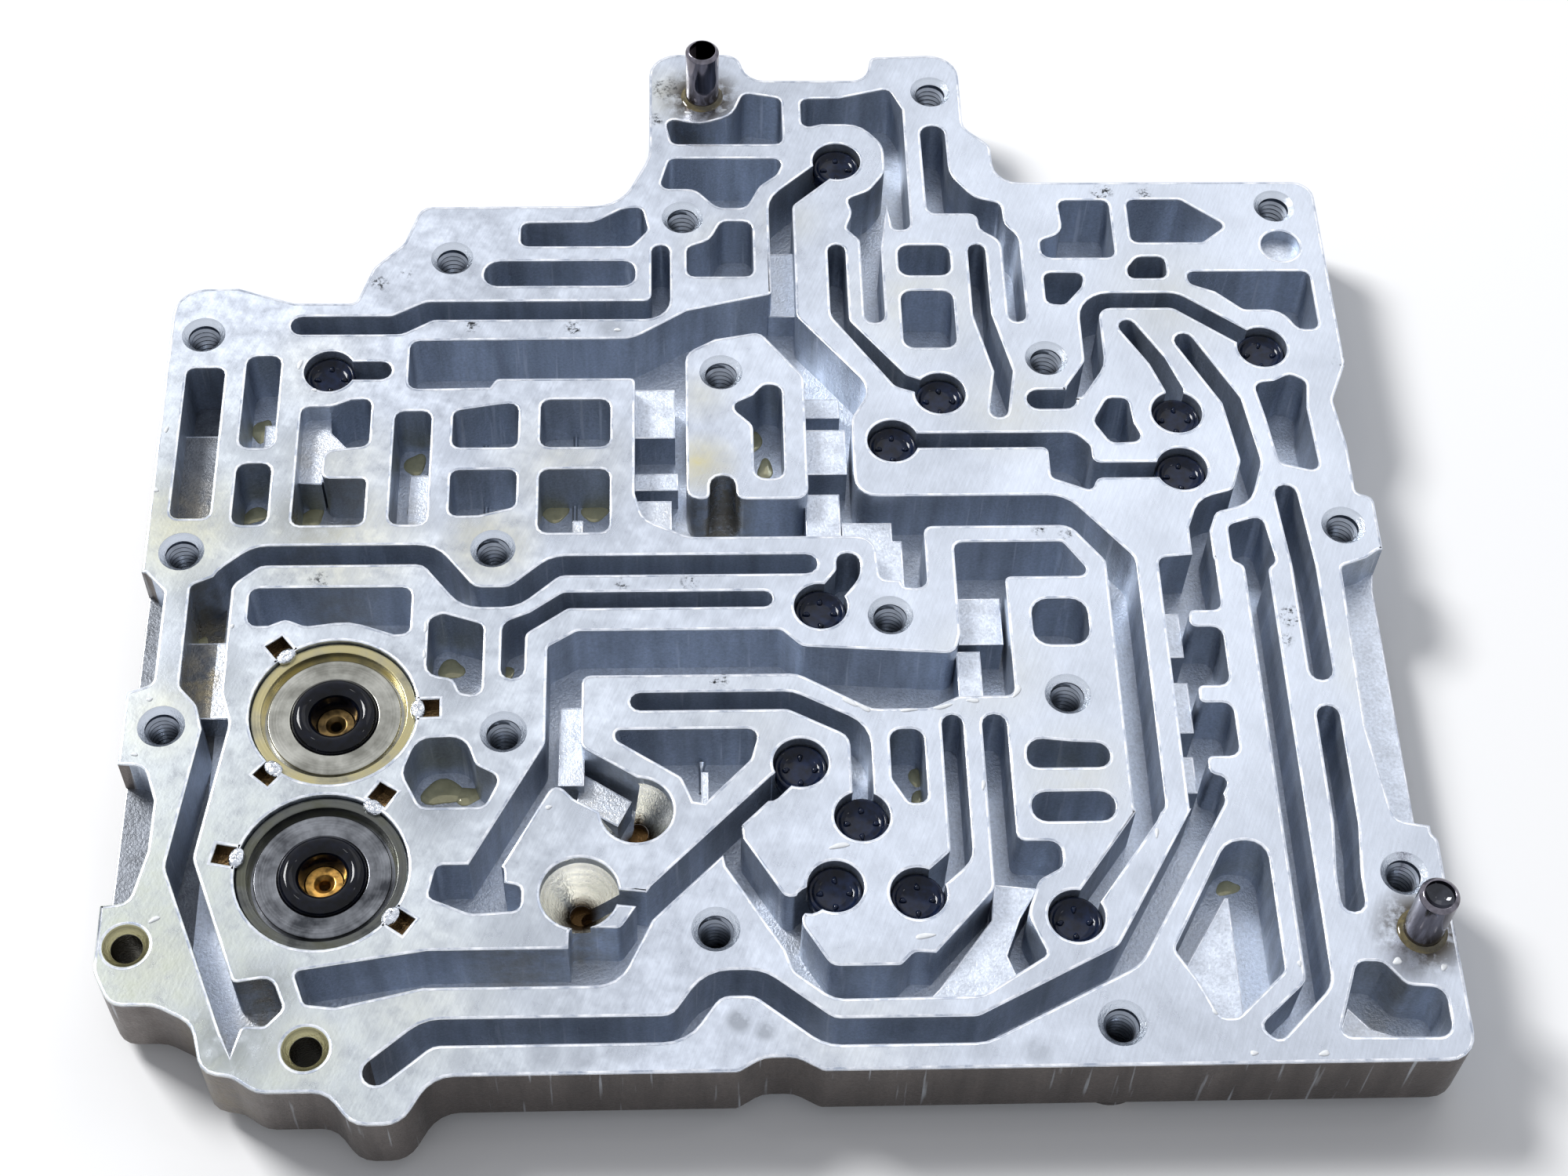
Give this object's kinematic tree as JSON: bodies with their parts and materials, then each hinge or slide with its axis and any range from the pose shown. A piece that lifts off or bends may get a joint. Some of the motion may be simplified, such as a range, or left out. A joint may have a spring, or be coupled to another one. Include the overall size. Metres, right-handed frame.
{
  "type": "transmission valve body channel plate",
  "caption": "Flat die-cast channel plate of an automatic transmission's valve body, with oil channels, lifting check discs, two round dampers and two locating pins.",
  "frame": {"origin": "middle of the bounding box at its foot, on the plane that the underside bosses stand on", "axes": "+Z out of the machined channel face, +Y towards the lobe with the rear locating pin, +X to the right seen from above"},
  "size_m": [0.1867, 0.1932, 0.027],
  "materials": {
    "cast_aluminium": "satin",
    "valve_black": "gloss",
    "pin_steel": "satin",
    "cup_steel": "satin",
    "seal_rubber": "satin",
    "jet_brass": "satin"
  },
  "bodies": {
    "channel_plate": {"channel_casting": "cast_aluminium", "dowel_pin_rear": "pin_steel", "dowel_pin_front": "pin_steel", "damper_cup_rear": "cup_steel", "damper_seal_rear": "seal_rubber", "damper_jet_rear": "jet_brass", "damper_cup_front": "cup_steel", "damper_seal_front": "seal_rubber", "damper_jet_front": "jet_brass"},
    "check_valve_01": {"check_valve_01": "valve_black"},
    "check_valve_02": {"check_valve_02": "valve_black"},
    "check_valve_03": {"check_valve_03": "valve_black"},
    "check_valve_04": {"check_valve_04": "valve_black"},
    "check_valve_05": {"check_valve_05": "valve_black"},
    "check_valve_06": {"check_valve_06": "valve_black"},
    "check_valve_07": {"check_valve_07": "valve_black"},
    "check_valve_08": {"check_valve_08": "valve_black"},
    "check_valve_09": {"check_valve_09": "valve_black"},
    "check_valve_10": {"check_valve_10": "valve_black"},
    "check_valve_11": {"check_valve_11": "valve_black"},
    "check_valve_12": {"check_valve_12": "valve_black"},
    "check_valve_13": {"check_valve_13": "valve_black"}
  },
  "joints": [
    {"name": "check_valve_01_lift", "type": "slide", "parent": "channel_plate", "child": "check_valve_01", "axis": [0, 0, 1], "range_m": [0, 0.0014]},
    {"name": "check_valve_02_lift", "type": "slide", "parent": "channel_plate", "child": "check_valve_02", "axis": [0, 0, 1], "range_m": [0, 0.0014]},
    {"name": "check_valve_03_lift", "type": "slide", "parent": "channel_plate", "child": "check_valve_03", "axis": [0, 0, 1], "range_m": [0, 0.0014]},
    {"name": "check_valve_04_lift", "type": "slide", "parent": "channel_plate", "child": "check_valve_04", "axis": [0, 0, 1], "range_m": [0, 0.0014]},
    {"name": "check_valve_05_lift", "type": "slide", "parent": "channel_plate", "child": "check_valve_05", "axis": [0, 0, 1], "range_m": [0, 0.0014]},
    {"name": "check_valve_06_lift", "type": "slide", "parent": "channel_plate", "child": "check_valve_06", "axis": [0, 0, 1], "range_m": [0, 0.0014]},
    {"name": "check_valve_07_lift", "type": "slide", "parent": "channel_plate", "child": "check_valve_07", "axis": [0, 0, 1], "range_m": [0, 0.0014]},
    {"name": "check_valve_08_lift", "type": "slide", "parent": "channel_plate", "child": "check_valve_08", "axis": [0, 0, 1], "range_m": [0, 0.0014]},
    {"name": "check_valve_09_lift", "type": "slide", "parent": "channel_plate", "child": "check_valve_09", "axis": [0, 0, 1], "range_m": [0, 0.0014]},
    {"name": "check_valve_10_lift", "type": "slide", "parent": "channel_plate", "child": "check_valve_10", "axis": [0, 0, 1], "range_m": [0, 0.0014]},
    {"name": "check_valve_11_lift", "type": "slide", "parent": "channel_plate", "child": "check_valve_11", "axis": [0, 0, 1], "range_m": [0, 0.0014]},
    {"name": "check_valve_12_lift", "type": "slide", "parent": "channel_plate", "child": "check_valve_12", "axis": [0, 0, 1], "range_m": [0, 0.0014]},
    {"name": "check_valve_13_lift", "type": "slide", "parent": "channel_plate", "child": "check_valve_13", "axis": [0, 0, 1], "range_m": [0, 0.0014]}
  ]
}
